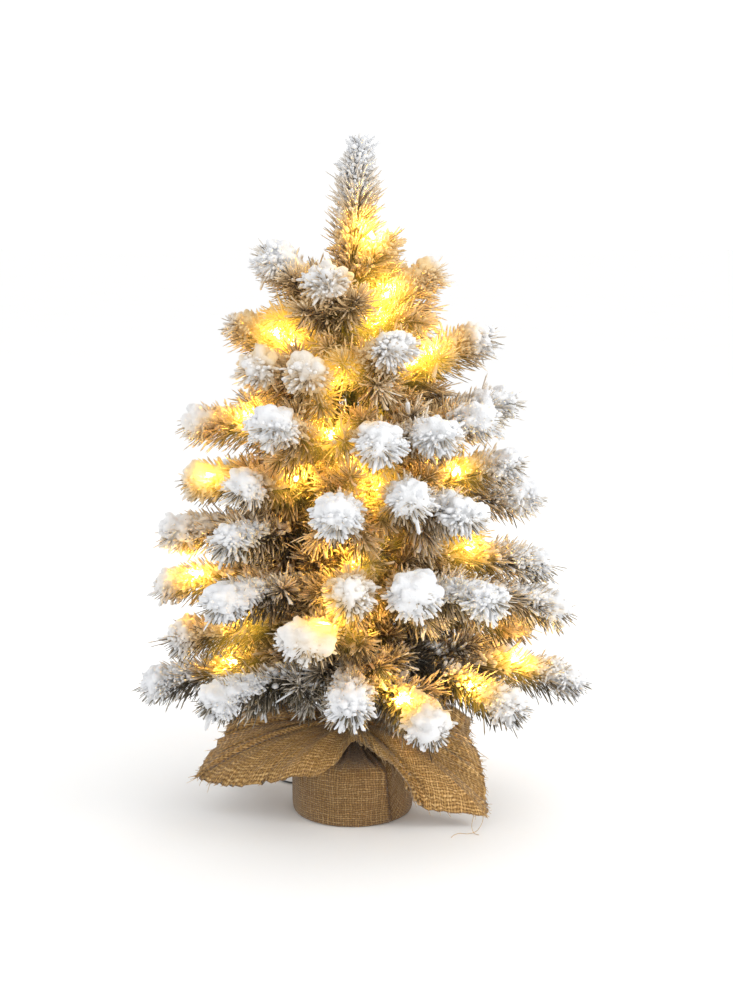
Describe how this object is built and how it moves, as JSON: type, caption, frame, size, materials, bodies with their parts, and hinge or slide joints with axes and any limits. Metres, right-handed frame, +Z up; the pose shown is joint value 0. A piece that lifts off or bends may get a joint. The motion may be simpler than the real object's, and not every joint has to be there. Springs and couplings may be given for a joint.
{
  "type": "artificial tabletop tree",
  "caption": "Small flocked artificial tree with bendable wire branches, warm lights, a burlap-wrapped weighted base and a battery box on a thin lead.",
  "frame": {"origin": "centre of the flat underside of the burlap-wrapped base", "axes": "+Z up along the trunk, -Y towards the front of the tree, +X to the front viewer's right"},
  "size_m": [0.4167, 0.3156, 0.61],
  "materials": {
    "flocked_needles": "flocked, matte",
    "cement": "matte",
    "burlap": "woven jute, matte",
    "jute_twine": "twisted, matte",
    "pole_steel": "satin",
    "green_tape": "satin",
    "clear_wire": "gloss",
    "dark_wire": "satin",
    "box_plastic": "satin",
    "dark_plastic": "satin",
    "circuit_board": "satin",
    "spring_metal": "polished",
    "cell_jacket": "gloss"
  },
  "bodies": {
    "root": {"base_weight": "cement", "burlap_wrap": "burlap", "neck_tie": "jute_twine", "trunk_pole": "pole_steel", "trunk_tape": "green_tape", "light_string": "clear_wire", "battery_lead": "dark_wire", "battery_case": "box_plastic", "aa_cell_1": "cell_jacket", "aa_cell_2": "cell_jacket", "aa_cell_3": "cell_jacket", "contact_plate_left": "spring_metal", "contact_plate_right": "spring_metal", "switch_board": "circuit_board", "lead_grommet": "dark_plastic"},
    "tier1_branch_1": {"tier1_branch_1": "flocked_needles"},
    "tier1_branch_2": {"tier1_branch_2": "flocked_needles"},
    "tier1_branch_3": {"tier1_branch_3": "flocked_needles"},
    "tier1_branch_4": {"tier1_branch_4": "flocked_needles"},
    "tier1_branch_5": {"tier1_branch_5": "flocked_needles"},
    "tier1_branch_6": {"tier1_branch_6": "flocked_needles"},
    "tier1_branch_7": {"tier1_branch_7": "flocked_needles"},
    "tier2_branch_1": {"tier2_branch_1": "flocked_needles"},
    "tier2_branch_2": {"tier2_branch_2": "flocked_needles"},
    "tier2_branch_3": {"tier2_branch_3": "flocked_needles"},
    "tier3_branch_1": {"tier3_branch_1": "flocked_needles"},
    "tier3_branch_2": {"tier3_branch_2": "flocked_needles"},
    "tier3_branch_3": {"tier3_branch_3": "flocked_needles"},
    "tier3_branch_4": {"tier3_branch_4": "flocked_needles"},
    "tier3_branch_5": {"tier3_branch_5": "flocked_needles"},
    "tier3_branch_6": {"tier3_branch_6": "flocked_needles"},
    "tier3_branch_7": {"tier3_branch_7": "flocked_needles"},
    "tier4_branch_1": {"tier4_branch_1": "flocked_needles"},
    "tier4_branch_2": {"tier4_branch_2": "flocked_needles"},
    "tier4_branch_3": {"tier4_branch_3": "flocked_needles"},
    "tier5_branch_1": {"tier5_branch_1": "flocked_needles"},
    "tier5_branch_2": {"tier5_branch_2": "flocked_needles"},
    "tier5_branch_3": {"tier5_branch_3": "flocked_needles"},
    "tier5_branch_4": {"tier5_branch_4": "flocked_needles"},
    "tier5_branch_5": {"tier5_branch_5": "flocked_needles"},
    "tier5_branch_6": {"tier5_branch_6": "flocked_needles"},
    "tier6_branch_1": {"tier6_branch_1": "flocked_needles"},
    "tier6_branch_2": {"tier6_branch_2": "flocked_needles"},
    "tier6_branch_3": {"tier6_branch_3": "flocked_needles"},
    "tier6_branch_4": {"tier6_branch_4": "flocked_needles"},
    "tier6_branch_5": {"tier6_branch_5": "flocked_needles"},
    "tier6_branch_6": {"tier6_branch_6": "flocked_needles"},
    "tier7_branch_1": {"tier7_branch_1": "flocked_needles"},
    "tier7_branch_2": {"tier7_branch_2": "flocked_needles"},
    "tier7_branch_3": {"tier7_branch_3": "flocked_needles"},
    "tier7_branch_4": {"tier7_branch_4": "flocked_needles"},
    "tier7_branch_5": {"tier7_branch_5": "flocked_needles"},
    "tier7_branch_6": {"tier7_branch_6": "flocked_needles"},
    "tier8_branch_1": {"tier8_branch_1": "flocked_needles"},
    "tier8_branch_2": {"tier8_branch_2": "flocked_needles"},
    "tier8_branch_3": {"tier8_branch_3": "flocked_needles"},
    "tier8_branch_4": {"tier8_branch_4": "flocked_needles"},
    "top_leader": {"top_leader": "flocked_needles"},
    "battery_door": {"battery_door": "box_plastic"},
    "battery_switch": {"battery_switch": "dark_plastic"}
  },
  "joints": [
    {"name": "battery_door_slide", "type": "slide", "parent": "root", "child": "battery_door", "axis": [1, 0, 0], "range_m": [0, 0.066]},
    {"name": "battery_switch_slide", "type": "slide", "parent": "root", "child": "battery_switch", "axis": [0, 1, 0], "range_m": [0, 0.003]},
    {"name": "tier1_branch_1_bend", "type": "hinge", "parent": "root", "child": "tier1_branch_1", "pos_m": [-0.007, 0, 0.151], "axis": [0, 1, 0], "range_deg": [-16, 16]},
    {"name": "tier1_branch_2_bend", "type": "hinge", "parent": "root", "child": "tier1_branch_2", "pos_m": [-0.00559, -0.00421, 0.141], "axis": [-0.6018, 0.7986, 0], "range_deg": [-30, 30]},
    {"name": "tier1_branch_3_bend", "type": "hinge", "parent": "root", "child": "tier1_branch_3", "pos_m": [0, -0.007, 0.151], "axis": [-1, 0, 0], "range_deg": [-30, 30]},
    {"name": "tier1_branch_4_bend", "type": "hinge", "parent": "root", "child": "tier1_branch_4", "pos_m": [0.0035, -0.00606, 0.141], "axis": [-0.866, -0.5, 0], "range_deg": [-30, 30]},
    {"name": "tier1_branch_5_bend", "type": "hinge", "parent": "root", "child": "tier1_branch_5", "pos_m": [0.00699, 0.00037, 0.151], "axis": [0.0523, -0.9986, 0], "range_deg": [-23, 16]},
    {"name": "tier1_branch_6_bend", "type": "hinge", "parent": "root", "child": "tier1_branch_6", "pos_m": [0.00566, 0.00411, 0.141], "axis": [0.5878, -0.809, 0], "range_deg": [-26, 16]},
    {"name": "tier1_branch_7_bend", "type": "hinge", "parent": "root", "child": "tier1_branch_7", "pos_m": [-0.00536, 0.0045, 0.151], "axis": [0.6428, 0.766, 0], "range_deg": [-30, 26]},
    {"name": "tier2_branch_1_bend", "type": "hinge", "parent": "root", "child": "tier2_branch_1", "pos_m": [-0.00169, -0.00679, 0.189], "axis": [-0.9703, 0.2419, 0], "range_deg": [-30, 30]},
    {"name": "tier2_branch_2_bend", "type": "hinge", "parent": "root", "child": "tier2_branch_2", "pos_m": [-0.00693, -0.00097, 0.179], "axis": [-0.1392, 0.9903, 0], "range_deg": [-16, 30]},
    {"name": "tier2_branch_3_bend", "type": "hinge", "parent": "root", "child": "tier2_branch_3", "pos_m": [0.00658, 0.00239, 0.189], "axis": [0.342, -0.9397, 0], "range_deg": [-23, 13]},
    {"name": "tier3_branch_1_bend", "type": "hinge", "parent": "root", "child": "tier3_branch_1", "pos_m": [-0.00697, 0.00061, 0.225], "axis": [0.0872, 0.9962, 0], "range_deg": [-26, 11]},
    {"name": "tier3_branch_2_bend", "type": "hinge", "parent": "root", "child": "tier3_branch_2", "pos_m": [-0.00544, -0.00441, 0.215], "axis": [-0.6293, 0.7771, 0], "range_deg": [-30, 18]},
    {"name": "tier3_branch_3_bend", "type": "hinge", "parent": "root", "child": "tier3_branch_3", "pos_m": [0, -0.007, 0.225], "axis": [-1, 0, 0], "range_deg": [-30, 21]},
    {"name": "tier3_branch_4_bend", "type": "hinge", "parent": "root", "child": "tier3_branch_4", "pos_m": [0.00559, -0.00421, 0.215], "axis": [-0.6018, -0.7986, 0], "range_deg": [-30, 26]},
    {"name": "tier3_branch_5_bend", "type": "hinge", "parent": "root", "child": "tier3_branch_5", "pos_m": [0.007, 0, 0.225], "axis": [0, -1, 0], "range_deg": [-13, 8]},
    {"name": "tier3_branch_6_bend", "type": "hinge", "parent": "root", "child": "tier3_branch_6", "pos_m": [0.0045, 0.00536, 0.215], "axis": [0.766, -0.6428, 0], "range_deg": [-11, 30]},
    {"name": "tier3_branch_7_bend", "type": "hinge", "parent": "root", "child": "tier3_branch_7", "pos_m": [-0.00504, 0.00486, 0.225], "axis": [0.6947, 0.7193, 0], "range_deg": [-26, 21]},
    {"name": "tier4_branch_1_bend", "type": "hinge", "parent": "root", "child": "tier4_branch_1", "pos_m": [-0.007, 0.00024, 0.263], "axis": [0.0349, 0.9994, 0], "range_deg": [-11, 11]},
    {"name": "tier4_branch_2_bend", "type": "hinge", "parent": "root", "child": "tier4_branch_2", "pos_m": [0.00696, 0.00073, 0.253], "axis": [0.1045, -0.9945, 0], "range_deg": [-8, 16]},
    {"name": "tier4_branch_3_bend", "type": "hinge", "parent": "root", "child": "tier4_branch_3", "pos_m": [-0.00431, 0.00552, 0.263], "axis": [0.788, 0.6157, 0], "range_deg": [-18, 16]},
    {"name": "tier5_branch_1_bend", "type": "hinge", "parent": "root", "child": "tier5_branch_1", "pos_m": [-0.007, 0.00024, 0.303], "axis": [0.0349, 0.9994, 0], "range_deg": [-11, 13]},
    {"name": "tier5_branch_2_bend", "type": "hinge", "parent": "root", "child": "tier5_branch_2", "pos_m": [-0.00061, -0.00697, 0.293], "axis": [-0.9962, 0.0872, 0], "range_deg": [-23, 30]},
    {"name": "tier5_branch_3_bend", "type": "hinge", "parent": "root", "child": "tier5_branch_3", "pos_m": [0.0052, -0.00468, 0.303], "axis": [-0.6691, -0.7431, 0], "range_deg": [-30, 30]},
    {"name": "tier5_branch_4_bend", "type": "hinge", "parent": "root", "child": "tier5_branch_4", "pos_m": [0.00699, 0.00037, 0.293], "axis": [0.0523, -0.9986, 0], "range_deg": [-16, 18]},
    {"name": "tier5_branch_5_bend", "type": "hinge", "parent": "root", "child": "tier5_branch_5", "pos_m": [0.0052, 0.00468, 0.303], "axis": [0.6691, -0.7431, 0], "range_deg": [-30, 26]},
    {"name": "tier5_branch_6_bend", "type": "hinge", "parent": "root", "child": "tier5_branch_6", "pos_m": [-0.00606, 0.0035, 0.293], "axis": [0.5, 0.866, 0], "range_deg": [-18, 21]},
    {"name": "tier6_branch_1_bend", "type": "hinge", "parent": "root", "child": "tier6_branch_1", "pos_m": [-0.007, 0, 0.347], "axis": [0, 1, 0], "range_deg": [-13, 30]},
    {"name": "tier6_branch_2_bend", "type": "hinge", "parent": "root", "child": "tier6_branch_2", "pos_m": [-0.00431, -0.00552, 0.337], "axis": [-0.788, 0.6157, 0], "range_deg": [-30, 21]},
    {"name": "tier6_branch_3_bend", "type": "hinge", "parent": "root", "child": "tier6_branch_3", "pos_m": [0.00157, -0.00682, 0.347], "axis": [-0.9744, -0.225, 0], "range_deg": [-30, 30]},
    {"name": "tier6_branch_4_bend", "type": "hinge", "parent": "root", "child": "tier6_branch_4", "pos_m": [0.00696, 0.00073, 0.337], "axis": [0.1045, -0.9945, 0], "range_deg": [-30, 18]},
    {"name": "tier6_branch_5_bend", "type": "hinge", "parent": "root", "child": "tier6_branch_5", "pos_m": [0.0045, 0.00536, 0.347], "axis": [0.766, -0.6428, 0], "range_deg": [-30, 30]},
    {"name": "tier6_branch_6_bend", "type": "hinge", "parent": "root", "child": "tier6_branch_6", "pos_m": [-0.0052, 0.00468, 0.337], "axis": [0.6691, 0.7431, 0], "range_deg": [-30, 26]},
    {"name": "tier7_branch_1_bend", "type": "hinge", "parent": "root", "child": "tier7_branch_1", "pos_m": [-0.007, 0.00024, 0.393], "axis": [0.0349, 0.9994, 0], "range_deg": [-30, 23]},
    {"name": "tier7_branch_2_bend", "type": "hinge", "parent": "root", "child": "tier7_branch_2", "pos_m": [-0.00594, -0.00371, 0.383], "axis": [-0.5299, 0.848, 0], "range_deg": [-30, 30]},
    {"name": "tier7_branch_3_bend", "type": "hinge", "parent": "root", "child": "tier7_branch_3", "pos_m": [0.00285, -0.00639, 0.393], "axis": [-0.9135, -0.4067, 0], "range_deg": [-30, 30]},
    {"name": "tier7_branch_4_bend", "type": "hinge", "parent": "root", "child": "tier7_branch_4", "pos_m": [0.007, 0, 0.383], "axis": [0, -1, 0], "range_deg": [-23, 26]},
    {"name": "tier7_branch_5_bend", "type": "hinge", "parent": "root", "child": "tier7_branch_5", "pos_m": [0.00431, 0.00552, 0.393], "axis": [0.788, -0.6157, 0], "range_deg": [-30, 26]},
    {"name": "tier7_branch_6_bend", "type": "hinge", "parent": "root", "child": "tier7_branch_6", "pos_m": [-0.0045, 0.00536, 0.383], "axis": [0.766, 0.6428, 0], "range_deg": [-30, 30]},
    {"name": "tier8_branch_1_bend", "type": "hinge", "parent": "root", "child": "tier8_branch_1", "pos_m": [-0.007, 0, 0.437], "axis": [0, 1, 0], "range_deg": [-30, 30]},
    {"name": "tier8_branch_2_bend", "type": "hinge", "parent": "root", "child": "tier8_branch_2", "pos_m": [-0.00239, -0.00658, 0.427], "axis": [-0.9397, 0.342, 0], "range_deg": [-30, 18]},
    {"name": "tier8_branch_3_bend", "type": "hinge", "parent": "root", "child": "tier8_branch_3", "pos_m": [0.007, 0.00024, 0.437], "axis": [0.0349, -0.9994, 0], "range_deg": [-30, 30]},
    {"name": "tier8_branch_4_bend", "type": "hinge", "parent": "root", "child": "tier8_branch_4", "pos_m": [0.0035, 0.00606, 0.427], "axis": [0.866, -0.5, 0], "range_deg": [-30, 11]},
    {"name": "top_leader_bend", "type": "hinge", "parent": "root", "child": "top_leader", "pos_m": [0, 0, 0.4755], "axis": [1, 0, 0], "range_deg": [-15, 15]}
  ]
}
